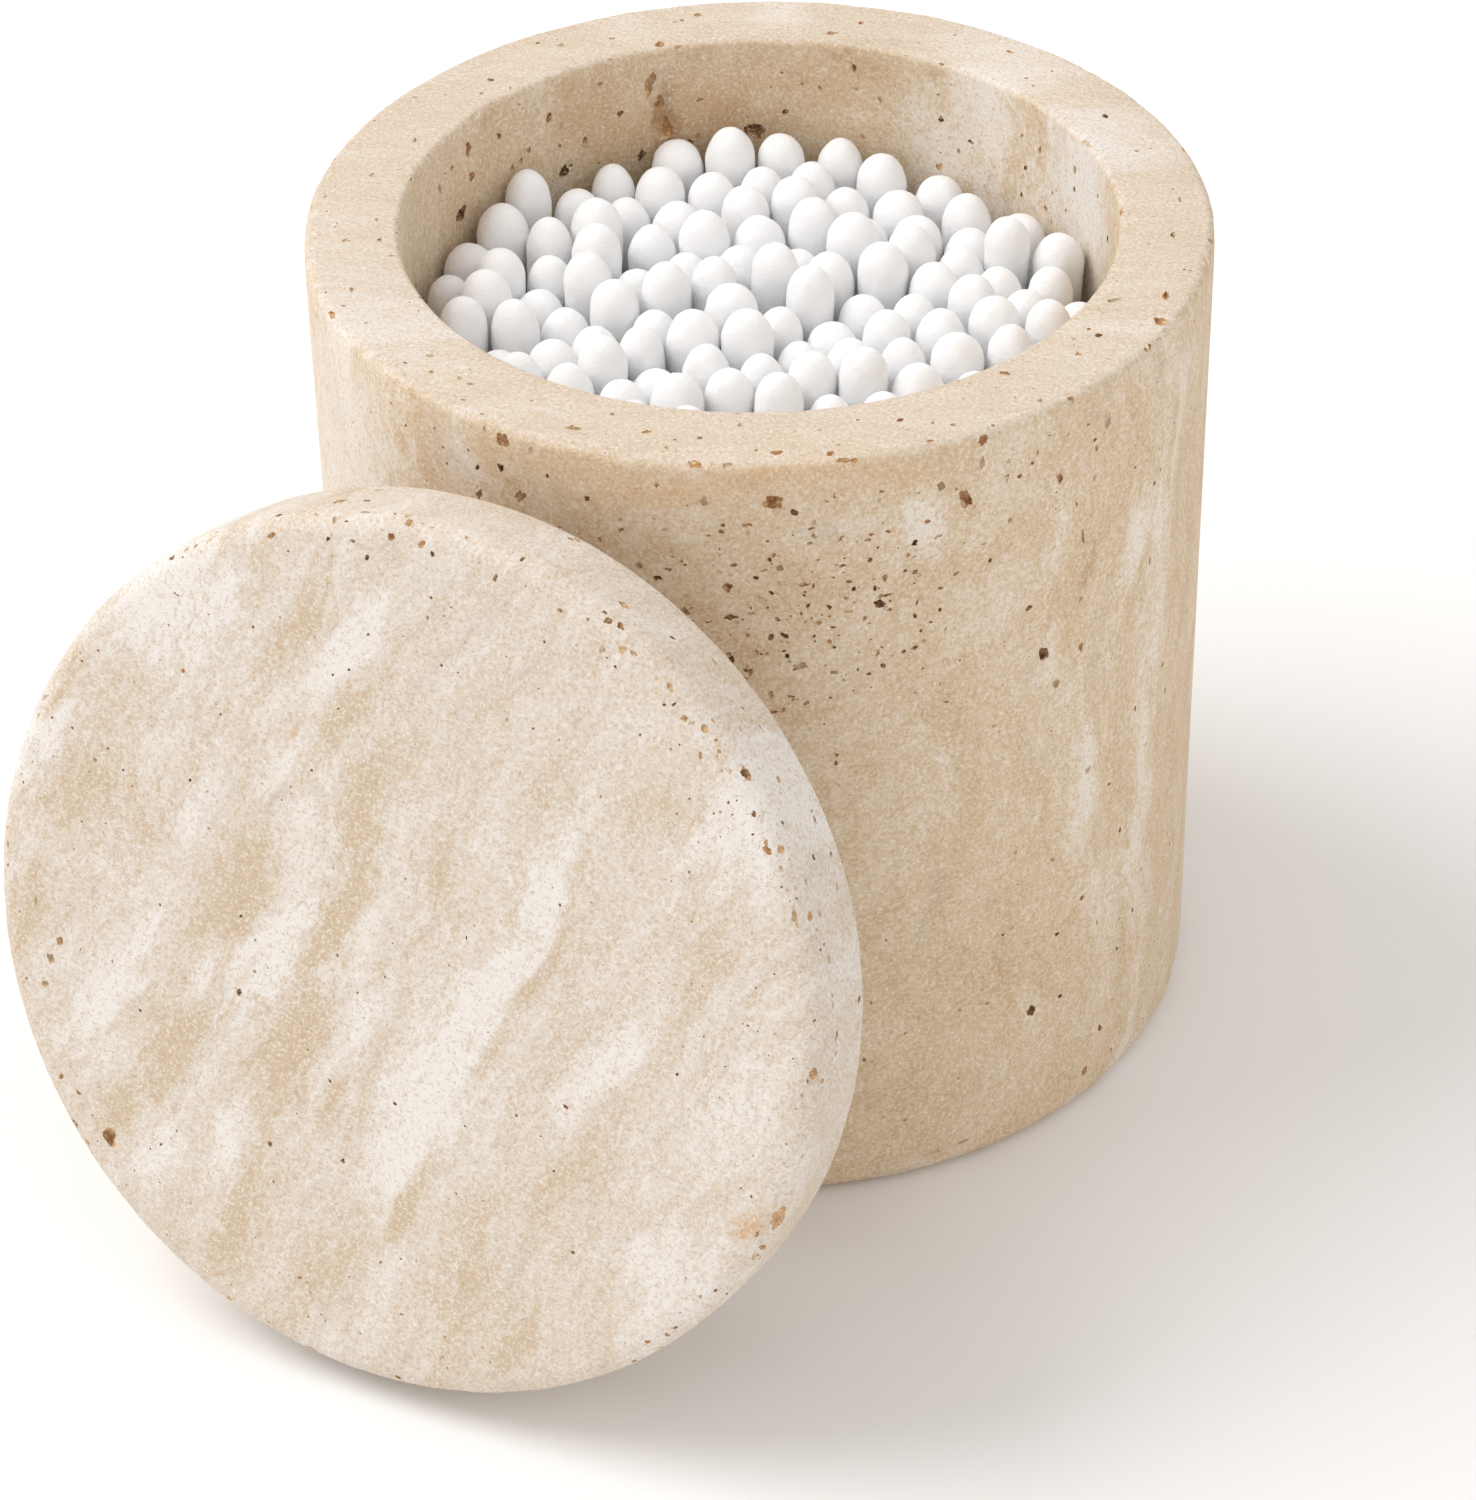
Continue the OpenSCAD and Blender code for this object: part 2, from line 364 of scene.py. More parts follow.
def lining(name, deep, middle, light, size):
    """The inside of a void, in three tones. size: scale of their noise."""
    net = Net(name)
    p = mm_space(net)
    c = net.ramp(net.noise(p, size, 3, 0.6), [(0.34, deep), (0.50, middle), (0.66, light)])
    c = net.mix(net.span(net.noise(p, 3.0, 2), 0.52, 0.70), c, rgb(230, 212, 188))
    bump = net.bump(net.noise(p, 3.5, 2, 0.7), 0.0002, 0.5)
    return net.finish(Base_Color=c, Roughness=0.85, Normal=bump, Specular_IOR_Level=0.15)


def lid_space(net):
    """The place in the lid's own frame, in mm, its disc's underside at 0."""
    angles = tuple(lid_place.to_euler("XYZ"))
    return net.mapped(mm_space(net), loc=tuple(LID_AT), rot=angles, kind="TEXTURE")


def round_cup(radius, degrees, height):
    """A place by its distance from the cup's axis, its turn from +X and its height."""
    a = math.radians(degrees)
    return (radius * math.cos(a), radius * math.sin(a), height)


# degrees; the cup's beds stand upright and face the camera, the lid's run steeply over its face
CUP_BEDS = 63.7
LID_BEDS = 22.0


def across_beds(distance):
    """Centre of a bed of the cup that lies a distance from the axis."""
    return round_cup(distance, -CUP_BEDS, CUP_H / 2)


CUP_TONES = [rgb(*tone) for tone in (
    (194, 163, 125), (209, 183, 148), (218, 196, 166), (227, 210, 188), (235, 225, 211))]
LID_TONES = [rgb(*tone) for tone in (
    (206, 186, 160), (214, 199, 180), (220, 209, 196), (228, 220, 211), (234, 229, 223))]
CUP_PATCHES = [
    (across_beds(26.0), (3.0, 200, 200), 0.35),
    (across_beds(-12.0), (2.5, 200, 200), 0.15),
    (round_cup(44, 76, 92), (13, 9, 60), 0.60),
    (round_cup(44, 52, 92), (8, 8, 30), 0.30),
    (round_cup(46, 112, 100), (5, 4, 8), 0.55),
    (round_cup(46, 135, 100), (5, 4, 6), 0.25),
    (round_cup(40, 95, 100), (2.0, 8, 6), -0.30),
    (round_cup(46, 166, 100), (3, 5, 6), -0.20),
    (round_cup(CUP_R, -45, 91), (4.2, 4.2, 5.4), 0.60),
    (round_cup(CUP_R, -12, 76), (3.0, 3.0, 11.0), 0.60),
    (round_cup(CUP_R, -27, 85), (2.0, 2.0, 14.0), 0.35),
    (round_cup(CUP_R, -26, 66), (1.5, 1.5, 6.0), 0.45),
    (round_cup(CUP_R, -7, 78), (1.5, 1.5, 12.0), 0.35),
    (round_cup(CUP_R, -20, 50), (3.0, 3.0, 13.0), 0.45),
    (round_cup(CUP_R, -28, 50), (1.0, 1.0, 5.0), 0.45),
    (round_cup(CUP_R, -57, 68), (2.0, 2.0, 2.6), 0.45),
    (round_cup(CUP_R, -42, 53), (1.5, 1.5, 4.0), 0.35),
    (round_cup(CUP_R, -124, 88), (13, 13, 30), 0.45),
    (round_cup(CUP_R, -148, 60), (10, 10, 40), 0.40),
    (round_cup(CUP_R, -30, 20), (2.0, 2.0, 6.0), 0.30),
    (round_cup(CUP_R, -14, 30), (6, 6, 12), 0.22),
    (round_cup(CUP_R, -21, 76), (0.9, 0.9, 11.0), -0.45),
    (round_cup(CUP_R, -3, 88), (1.1, 1.1, 14.0), -0.40),
    (round_cup(CUP_R, -62, 76), (9, 9, 9), -0.12),
    (round_cup(CUP_R, -100, 92), (6, 6, 9), 0.25),
    (round_cup(CUP_R, -124, 97), (2, 2, 5), -0.60),
    (round_cup(CUP_R, -114, 90), (1.4, 1.4, 9), -0.40),
]
CUP_STAINS_AND_SHEEN = [
    (round_cup(WELL_R, 132, 90.5), (2.4, 2.4, 5.0), rgb(122, 78, 42), 0.85),
    (round_cup(WELL_R, 124, 90.0), (9.0, 9.0, 6.0), rgb(200, 162, 118), 0.60),
    (round_cup(WELL_R, 104, 94.0), (7.0, 7.0, 4.0), rgb(218, 184, 142), 0.50),
    (round_cup(WELL_R, 150, 93.0), (9.0, 9.0, 6.0), rgb(200, 162, 120), 0.50),
    (round_cup(WELL_R, 72, 94.0), (3.5, 3.5, 12.0), rgb(244, 237, 228), 0.75),
    (round_cup(WELL_R, 48, 94.0), (10.0, 10.0, 16.0), rgb(236, 232, 227), 0.85),
    (round_cup(WELL_R, 86, 90.0), (3.5, 3.5, 12.0), rgb(236, 228, 216), 0.65),
    (round_cup(CUP_R, -96, 97), (3.0, 3.0, 3.0), rgb(214, 172, 120), 0.35),
    (round_cup(CUP_R, -72, 98.0), (7.0, 34.0, 3.6), rgb(222, 184, 136), 0.45),
    # painted sheen: the left side, which the key lamp lights, is drawn paler and greyer here
    (round_cup(CUP_R, -132, 84), (15, 15, 36), rgb(232, 225, 217), 0.55),
    (round_cup(CUP_R, -40.5, 43), (1.6, 1.6, 5.0), rgb(196, 178, 158), 0.55),
    (round_cup(CUP_R, -36.5, 36), (1.4, 1.4, 4.2), rgb(208, 194, 176), 0.70),
    (round_cup(CUP_R, -43, 37), (1.3, 1.3, 2.6), rgb(206, 190, 170), 0.60),
    (round_cup(CUP_R, -24, 6), (8, 8, 5), rgb(212, 182, 144), 0.30),
]
# the lid's patches lie just under its face and go right through it
LID_DEEP, THROUGH = 10, 30
LID_PATCHES = [
    ((x, y, LID_DEEP), (across, along, THROUGH), strength)
    for x, y, across, along, strength in (
        (6, -14, 6.0, 15, 0.94), (12.5, 2, 3.6, 13, 0.78), (17.5, 14, 3.1, 9, 0.62),
        (-15.5, -4, 3.9, 9, 0.88), (-8, 34, 2.9, 9, 0.69), (-30, 34, 9.1, 10, 0.75),
        (-45, 12, 4.5, 10, 0.75), (-35, -13, 3.1, 16, 0.56), (-33, -22, 3.2, 7, 0.44),
        (38, 28, 5.9, 10, 0.75), (26.5, -3, 3.1, 9, 0.53), (-17, -24, 2.9, 6, 0.56),
        (-2.5, -6, 2.6, 7, 0.50), (-15.5, 17, 2.3, 5, 0.50), (37, -27, 5.2, 10, 0.50),
        (-24, 14, 3.2, 7, 0.31), (22, 32, 10.4, 14, 0.18), (40, -8, 7.8, 14, 0.15),
        (-26, -31, 2.3, 6, 0.50), (3, -36, 2.1, 7, 0.44), (-24, -7, 2.1, 5, 0.56),
        (-11.5, -14, 3.4, 10, -0.71), (-7, 4, 3.1, 13, -0.71), (-3.5, 17, 2.6, 9, -0.57),
        (-25, -15, 3.8, 10, -0.71), (-20, 2, 4.1, 10, -0.57), (-13.5, 36, 3.1, 8, -0.63),
        (-6, 27, 4.1, 9, -0.52), (-36, 8, 4.8, 8, -0.52), (-44, -7, 3.0, 7, -0.57),
        # painted shade: the narrow dark patches at (5.5, -27), (12.8, -9), (16.6, 4) and (19.8, 15) form one
        # line along the right edge of the pale bands, in part brownish stone, in part the painted shadow of a
        # low step in the face
        (-31, -26, 2.9, 8, -0.46), (-18, -35, 1.6, 9, -0.63), (5.5, -27, 1.8, 9, -0.69),
        (12.8, -9, 1.4, 7, -0.69), (16.6, 4, 1.4, 9, -0.69), (19.8, 15, 1.3, 7, -0.52),
        (37, 11, 4.8, 9, -0.40), (12, -33, 3.6, 9, -0.40), (19.5, -37, 2.4, 6, -0.52),
        (-6.5, -17, 1.4, 4, -0.63), (-5, -39, 4.2, 8, -0.34), (-42, 20, 1.4, 6, -0.52),
        (6, 14, 1.3, 3, -0.52), (3, 5, 1.3, 3, -0.52), (16, 27, 3.6, 9, -0.14),
    )
]
LID_STAINS = [
    ((44.5, -18, 10), (1.8, 2.6, 6), rgb(205, 158, 98), 0.75),
    ((-14, 22, 10), (0.6, 3.5, 20), rgb(205, 172, 132), 0.60),
    ((-19, -9, 10), (0.7, 7, 20), rgb(206, 174, 134), 0.45),
    ((-15, 13, 10), (0.8, 3, 20), rgb(190, 178, 166), 0.55),
    ((-10, 15.5, 10), (1.6, 1.4, 20), rgb(205, 192, 178), 0.60),
    ((-16.5, 27.5, 10), (1.4, 1.2, 20), rgb(206, 192, 178), 0.60),
    ((17, 5.5, 10), (1.2, 2.0, 20), rgb(214, 202, 196), 0.55),
]
cup_stone = stone(
    "cup_travertine", mm_space, (0.05, 0.03, math.radians(CUP_BEDS)), CUP_TONES, CUP_PATCHES, CUP_STAINS_AND_SHEEN,
    contrast=0.7, sugar=0.30, seed=3.0, pale_top=rgb(209, 201, 193))
lid_stone = stone(
    "lid_travertine", lid_space, (0.0, 0.1, math.radians(LID_BEDS)), LID_TONES, LID_PATCHES, LID_STAINS,
    contrast=1.0, sugar=0.50, seed=41.0)
void_rust = lining("void_rust", rgb(176, 130, 84), rgb(208, 168, 122), rgb(232, 206, 170), 0.6)
void_dark = lining("void_dark", rgb(116, 84, 56), rgb(164, 126, 88), rgb(212, 178, 138), 0.8)
void_pale = lining("void_pale", rgb(206, 182, 150), rgb(224, 205, 178), rgb(238, 226, 208), 0.8)


def cotton_material():
    """Wound cotton: soft lumps and a fuzz that runs round the tip."""
    net = Net("cotton")
    p = mm_space(net)
    q = net.mapped(p, scale=(1.0, 1.0, 2.6))
    fuzz = net.noise(q, 2.2, 4, 0.75, 0.6)
    lumps = net.noise(p, 0.55, 2, 0.6)
    h = net.math("MULTIPLY_ADD", fuzz, 0.5, lumps)
    c = net.mix(net.span(fuzz, 0.35, 0.65), rgb(250, 251, 252), rgb(254, 254, 255))
    return net.finish(Base_Color=c, Roughness=0.95, Normal=net.bump(h, 0.0005, 0.50),
                      Specular_IOR_Level=0.05, Sheen_Weight=0.15, Sheen_Roughness=0.6)


def paper_material():
    """White rolled paper."""
    net = Net("paper_stick")
    p = mm_space(net)
    c = net.mix(net.noise(p, 1.5, 3), rgb(236, 236, 233), rgb(246, 246, 244))
    return net.finish(Base_Color=c, Roughness=0.75, Normal=net.bump(net.noise(p, 3.0, 3), 0.0002, 0.3))


cotton = cotton_material()
paper = paper_material()


# ---------------------------------------------------------------- geometry helpers
def to_object(name, bm, materials):
    """An object in the scene; the mesh being built is used up."""
    mesh = bpy.data.meshes.new(name)
    bm.to_mesh(mesh)
    bm.free()
    for m in materials:
        mesh.materials.append(m)
    o = bpy.data.objects.new(name, mesh)
    bpy.context.scene.collection.objects.link(o)
    return o


def quarter(x, y, r, a, b, steps=6):
    """An arc of an outline round (x, y), from angle a to angle b in degrees."""
    turns = [math.radians(a + (b - a) * i / steps) for i in range(steps + 1)]
    return [(x + r * math.cos(t), y + r * math.sin(t)) for t in turns]


def dense(points, step):
    """The outline with its long straight runs cut into steps."""
    out = [points[0]]
    for a, b in zip(points, points[1:]):
        n = max(1, int(math.hypot(b[0] - a[0], b[1] - a[1]) / step))
        out += [(a[0] + (b[0] - a[0]) * i / n, a[1] + (b[1] - a[1]) * i / n) for i in range(1, n + 1)]
    return out


def revolve(outline, segments):
    """A closed solid of revolution about Z from an outline whose ends lie on the axis."""
    bm = bmesh.new()
    turns = [2 * math.pi * i / segments for i in range(segments)]
    rings = []
    for r, z in outline:
        if r < 1e-6:
            rings.append([bm.verts.new((0, 0, z))])
        else:
            rings.append([bm.verts.new((r * math.cos(t), r * math.sin(t), z)) for t in turns])
    for a, b in zip(rings, rings[1:]):
        for i in range(segments):
            j = (i + 1) % segments
            if len(a) == 1:
                bm.faces.new((a[0], b[j], b[i]))
            elif len(b) == 1:
                bm.faces.new((a[i], a[j], b[0]))
            else:
                bm.faces.new((a[i], a[j], b[j], b[i]))
    bm.normal_update()
    return bm


def worn(bm, edge_amount):
    """Wears the edges: a vertex on a rounding moves in a little, unevenly."""
    for v in bm.verts:
        most = edge_amount(v.co)
        if most > 0:
            k = 0.5 + 0.5 * noise.noise(v.co * 0.22) + 0.35 * noise.noise(v.co * 0.9)
            v.co -= v.normal * most * max(0.0, k)


OUTLINE_STEP = 2.4   # mm
AROUND = 288         # segments of a turned piece


def turned(name, outline, edge_amount, place, material):
    """A turned piece of stone with worn edges, with slots for the linings of its voids too."""
    bm = revolve(dense(outline, OUTLINE_STEP), AROUND)
    worn(bm, edge_amount)
    bmesh.ops.transform(bm, matrix=Matrix.Scale(MM, 4) @ place, verts=bm.verts)
    return to_object(name, bm, [material, void_rust, void_dark, void_pale])


RUST, DARK, PALE = 0, 1, 2      # kinds of lining


class Voids:
    """Cutters for the voids of one piece. Those that would touch go into different passes."""

    REACH = 0.85                # of a cutter, as a part of its largest size
    FINE, COARSE = 0.42, 0.95   # reaches in mm from which a cutter has more faces
    SINK = 0.15                 # of its centre, as a part of its depth

    def __init__(self, rng):
        self.rng = rng
        self.passes = []

    def add(self, at, normal, width, height, depth, kind, up=UP):
        """One irregular void, sunk in the surface: place, sizes and depth in mm and kind of lining."""
        rng = self.rng
        side = up.cross(normal)
        if side.length < 0.1:
            side = Vector((1, 0, 0)).cross(normal)
        side.normalize()
        over = normal.cross(side).normalized()
        size = max(width, height, depth) * self.REACH
        for bm, taken in self.passes:
            if all((at - c).length > size + s for c, s in taken):
                break
        else:
            bm, taken = bmesh.new(), []
            self.passes.append((bm, taken))
        taken.append((at, size))
        detail = 1 if size < self.FINE else 2 if size < self.COARSE else 3
        made = bmesh.ops.create_icosphere(bm, subdivisions=detail, radius=1.0)
        shift = Vector((rng.uniform(-50, 50), rng.uniform(-50, 50), rng.uniform(-50, 50)))
        # drawn out a little in a direction of its own
        turn = rng.uniform(0, math.pi)
        along, across = math.cos(turn), math.sin(turn)
        long = rng.uniform(1.0, 1.3)
        centre = at - normal * depth * self.SINK
        for v in made["verts"]:
            k = 1.0 + 0.62 * noise.noise(v.co * 1.25 + shift) + 0.30 * noise.noise(v.co * 2.9 + shift)
            x, y, z = v.co * max(0.4, k)
            s, t = (x * along + y * across) * long, (y * along - x * across) / long
            x, y = s * along - t * across, s * across + t * along
            v.co = centre + side * (x * width / 2) + over * (y * height / 2) + normal * (z * depth)
        for f in {f for v in made["verts"] for f in v.link_faces}:
            f.material_index = kind + 1

    def carve(self, target):
        """Cuts them all out of the target."""
        for bm, _ in self.passes:
            bmesh.ops.transform(bm, matrix=Matrix.Scale(MM, 4), verts=bm.verts)
            cutter = to_object("cutter", bm, list(target.data.materials))
            mod = target.modifiers.new("carve", "BOOLEAN")
            mod.operation = "DIFFERENCE"
            mod.solver = "MANIFOLD"
            mod.object = cutter
            dg = bpy.context.evaluated_depsgraph_get()
            cut = bpy.data.meshes.new_from_object(target.evaluated_get(dg))
            target.modifiers.clear()
            old = target.data
            target.data = cut
            bpy.data.meshes.remove(old)
            bpy.data.objects.remove(cutter)


def smooth(o, angle=60.0):
    """Smooth shading, with sharp lips where a void opens."""
    bm = bmesh.new()
    bm.from_mesh(o.data)
    bmesh.ops.remove_doubles(bm, verts=bm.verts, dist=2e-7)
    bm.normal_update()
    limit = math.radians(angle)
    for e in bm.edges:
        e.smooth = (len(e.link_faces) == 2 and e.calc_face_angle(0.0) < limit
                    and e.link_faces[0].material_index == e.link_faces[1].material_index)
    for f in bm.faces:
        f.smooth = True
    bm.to_mesh(o.data)
    bm.free()


# ---------------------------------------------------------------- voids as the photograph has them
# place x, y and size across, down, all in pixels of the photograph, then the kind of lining:
# 0 RUST, 1 DARK, 2 PALE
WALL_VOIDS = [
    (503, 440, 13, 13, 0), (528, 430, 10, 6, 0), (484, 430, 6, 8, 2), (514, 414, 5, 9, 2),
    (530, 451, 5, 9, 2), (501, 468, 6, 12, 1), (479, 495, 9, 11, 0), (520, 497, 11, 16, 0),
    (587, 499, 8, 6, 1), (704, 502, 7, 15, 2), (773, 503, 21, 13, 0), (794, 512, 7, 7, 1),
    (639, 566, 9, 7, 2), (657, 578, 9, 6, 1), (728, 587, 10, 10, 0), (685, 612, 12, 10, 0),
    (731, 617, 13, 7, 1), (784, 635, 9, 7, 1), (771, 637, 6, 8, 1), (880, 604, 10, 12, 1),
    (966, 500, 16, 18, 0), (984, 441, 15, 8, 0), (982, 464, 7, 13, 2), (941, 486, 10, 9, 2),
    (915, 543, 7, 6, 1), (1108, 422, 12, 17, 2), (1097, 448, 6, 7, 0), (1060, 478, 9, 10, 0),
    (1095, 478, 7, 8, 2), (1029, 608, 7, 7, 1), (1044, 654, 12, 19, 1), (1056, 684, 8, 10, 2),
    (1081, 647, 7, 9, 0), (1081, 599, 6, 6, 2), (1083, 537, 7, 13, 2), (1088, 770, 8, 9, 2),
    (1135, 709, 5, 7, 1), (1082, 898, 8, 8, 0), (1057, 934, 6, 6, 1), (1031, 1011, 16, 9, 1),
    (1060, 996, 6, 5, 1), (1100, 1028, 9, 8, 0), (1111, 1050, 8, 6, 2), (1085, 1071, 9, 10, 0),
    (963, 1142, 11, 6, 2), (936, 1152, 12, 6, 2), (864, 1060, 5, 6, 0), (732, 660, 7, 9, 1),
    (750, 672, 8, 8, 0), (774, 712, 7, 6, 0), (771, 695, 6, 9, 2), (836, 755, 5, 6, 0),
    (836, 763, 5, 6, 0), (801, 666, 16, 8, 2), (885, 578, 6, 7, 0), (875, 588, 5, 6, 1),
    (854, 589, 6, 5, 1), (846, 598, 6, 5, 2), (829, 607, 5, 5, 1), (780, 568, 9, 5, 0),
    (787, 656, 5, 5, 1), (784, 651, 4, 4, 1), (761, 598, 8, 4, 2), (749, 614, 6, 5, 2),
    (734, 565, 8, 4, 0), (756, 578, 5, 6, 1), (771, 593, 5, 5, 1), (756, 653, 6, 7, 0),
    (808, 606, 5, 4, 1), (600, 540, 5, 5, 2), (560, 527, 4, 4, 0), (620, 520, 4, 5, 2),
    (664, 530, 7, 5, 2), (840, 540, 5, 4, 0), (870, 560, 5, 5, 1), (905, 571, 5, 4, 0),
    (940, 610, 4, 5, 1), (990, 560, 5, 5, 1), (1010, 520, 5, 6, 2), (1020, 476, 6, 6, 0),
    (1150, 560, 5, 8, 2), (1165, 690, 5, 8, 2), (1120, 830, 5, 6, 1), (1052, 860, 6, 5, 0),
    (960, 1010, 4, 4, 0), (905, 1120, 5, 4, 2), (886, 940, 4, 4, 0), (1003, 935, 4, 4, 1),
]
RIM_VOIDS = [
    (698, 15, 9, 5, 0), (831, 33, 9, 5, 0), (861, 23, 6, 4, 0), (562, 45, 8, 5, 2), (491, 80, 7, 5, 0),
    (415, 140, 6, 6, 2), (1105, 116, 8, 5, 1), (1173, 235, 5, 7, 1), (1166, 296, 9, 8, 0),
    (1161, 321, 12, 10, 0), (1172, 351, 4, 7, 2), (1098, 335, 9, 4, 1), (1114, 300, 13, 5, 2),
    (1005, 373, 9, 5, 0), (646, 432, 9, 4, 0), (574, 428, 15, 4, 2), (776, 452, 11, 5, 0),
    (830, 453, 9, 5, 0), (1109, 417, 6, 4, 0), (660, 44, 12, 6, 0), (740, 425, 6, 4, 2),
    (900, 420, 7, 4, 0), (820, 430, 5, 3, 2), (430, 356, 7, 5, 2), (352, 290, 5, 6, 0),
    (372, 175, 6, 5, 2), (1010, 52, 8, 4, 0), (955, 35, 6, 4, 2), (1180, 200, 4, 6, 0),
    (612, 414, 6, 3, 2), (470, 384, 6, 4, 2), (700, 438, 6, 3, 0), (1040, 400, 7, 4, 2),
    (930, 440, 6, 3, 0), (345, 240, 5, 5, 2),
]
WELL_VOIDS = [
    (468, 149, 11, 11, 0), (472, 176, 8, 9, 0), (499, 136, 6, 6, 0), (549, 117, 8, 8, 0),
    (560, 126, 6, 7, 2), (620, 114, 6, 6, 1), (564, 172, 9, 11, 1), (461, 214, 15, 12, 1),
    (650, 84, 10, 20, 0), (664, 126, 20, 24, 0), (659, 104, 12, 14, 0), (755, 131, 19, 12, 1),
    (641, 155, 9, 9, 1), (529, 150, 5, 6, 0), (600, 84, 5, 5, 2), (700, 100, 5, 5, 0),
    (440, 190, 6, 8, 2), (452, 168, 5, 6, 0), (820, 88, 5, 5, 0), (880, 100, 6, 5, 2),
    (585, 140, 6, 6, 0), (512, 168, 5, 6, 2), (690, 142, 7, 6, 0), (1075, 170, 5, 8, 2),
    (1040, 150, 5, 6, 0),
]
LID_VOIDS = [
    (110, 1138, 15, 20, 0), (607, 633, 7, 11, 1), (602, 650, 6, 8, 2), (622, 650, 8, 9, 0),
    (684, 719, 7, 8, 0), (693, 716, 6, 6, 2), (664, 705, 4, 4, 1), (673, 705, 4, 5, 1),
    (734, 781, 11, 15, 1), (700, 756, 5, 6, 2), (717, 756, 4, 6, 2), (810, 810, 4, 5, 1),
    (782, 823, 4, 5, 0), (787, 897, 5, 5, 1), (755, 1244, 16, 24, 0), (742, 1270, 9, 8, 0),
    (800, 1163, 6, 9, 0), (647, 1343, 8, 5, 0), (566, 1107, 6, 5, 0), (51, 959, 9, 11, 2),
    (60, 941, 7, 9, 0), (45, 984, 7, 9, 2), (61, 1077, 6, 7, 0), (78, 1093, 7, 7, 2),
    (239, 992, 6, 7, 1), (270, 1144, 5, 6, 1), (343, 1161, 5, 6, 1), (241, 916, 4, 4, 1),
    (330, 1081, 4, 4, 1), (395, 1104, 4, 4, 1), (367, 558, 6, 6, 1), (328, 539, 5, 4, 1),
    (353, 541, 6, 4, 1), (401, 523, 9, 9, 0), (391, 537, 9, 8, 0), (271, 536, 8, 7, 0),
    (287, 527, 6, 9, 0), (421, 545, 6, 9, 0), (432, 554, 4, 6, 1), (464, 536, 8, 5, 0),
    (475, 538, 5, 7, 2), (506, 567, 11, 4, 1), (495, 578, 4, 8, 1), (427, 528, 5, 6, 2),
    (253, 627, 4, 4, 1), (333, 675, 4, 3, 1), (349, 670, 4, 3, 1), (569, 594, 6, 5, 1),
    (587, 620, 4, 5, 1), (560, 611, 7, 4, 0), (615, 667, 4, 4, 1), (835, 1034, 5, 12, 0),
    (858, 999, 8, 10, 2), (752, 835, 4, 4, 1), (728, 803, 3, 4, 1), (736, 801, 3, 4, 1),
    (743, 799, 3, 4, 1), (732, 815, 3, 3, 1), (640, 735, 4, 4, 1), (560, 905, 3, 4, 1),
    (820, 950, 4, 5, 2), (700, 1297, 5, 4, 0), (770, 1215, 5, 7, 2), (610, 1368, 6, 4, 2),
    (300, 1278, 5, 4, 0), (140, 1010, 4, 4, 1), (190, 780, 4, 4, 1), (95, 760, 4, 5, 0),
    (36, 900, 5, 7, 2), (160, 905, 4, 4, 0),
]


# ---------------------------------------------------------------- the cup
cup_line = (
    [(0.0, 0.0)]
    + quarter(CUP_R - BASE_ROUND, BASE_ROUND, BASE_ROUND, -90, 0)
    + quarter(CUP_R - RIM_ROUND, CUP_H - RIM_ROUND, RIM_ROUND, 0, 90)
    + quarter(WELL_R + MOUTH_ROUND, CUP_H - MOUTH_ROUND, MOUTH_ROUND, 90, 180)
    + quarter(WELL_R - WELL_ROUND, FLOOR_T + WELL_ROUND, WELL_ROUND, 0, -90)
    + [(0.0, FLOOR_T)]
)


def cup_edges(co):
    """How much the cup is worn at a place, in mm."""
    r = math.hypot(co.x, co.y)
    if r > CUP_R - 1.3 and co.z > CUP_H - 1.3:
        return 0.16
    if r < WELL_R + 1.0 and co.z > CUP_H - 1.0:
        return 0.12
    if r > CUP_R - 2.6 and 0.2 < co.z < 2.6:
        return 0.20
    return 0.0


cup = turned("cup_stone", cup_line, cup_edges, Matrix.Identity(4), cup_stone)
cut = Voids(random.Random(12))
rng = random.Random(7)
# the factors turn sizes seen at a slant into true ones
for x, y, w, h, kind in WALL_VOIDS:
    at, n = on_wall(x, y, CUP_R)
    wide, tall = w / PX * 0.9, h / PX
    cut.add(at, n, wide, tall, (0.70 if kind == DARK else 0.48) * min(wide, tall) + 0.12, kind)
RIM_UP = Vector((-0.44, 0.9, 0))       # away from the camera
RIM_EDGE = 0.4                         # mm at either edge of the rim where its rounding begins
for x, y, w, h, kind in RIM_VOIDS:
    at, n = on_rim(x, y)
    r = math.hypot(at.x, at.y)
    flat_r = min(max(r, WELL_R + RIM_EDGE), CUP_R - RIM_EDGE)
    if flat_r != r:
        at = Vector((at.x / r * flat_r, at.y / r * flat_r, CUP_H - RIM_EDGE))
    wide, tall = w / PX * 0.9, h / PX * 1.5
    cut.add(at, n, wide, tall, 0.45 * min(wide, tall) + 0.12, kind, up=RIM_UP)
for x, y, w, h, kind in WELL_VOIDS:
    at, n = on_wall(x, y, WELL_R, far=True)
    if at.z < CUP_H - 1.0:
        wide, tall = w / PX * 1.1, h / PX * 1.3
        cut.add(at, n, wide, tall, 0.45 * min(wide, tall) + 0.15, kind)


def on_ring(radius, turn, z):
    """Place and outward normal at an angle, in radians, and a height on an upright cylinder."""
    n = Vector((math.cos(turn), math.sin(turn), 0))
    return Vector((n.x * radius, n.y * radius, z)), n


def any_turn():
    """A direction round an axis, in radians."""
    return rng.uniform(0, 2 * math.pi)


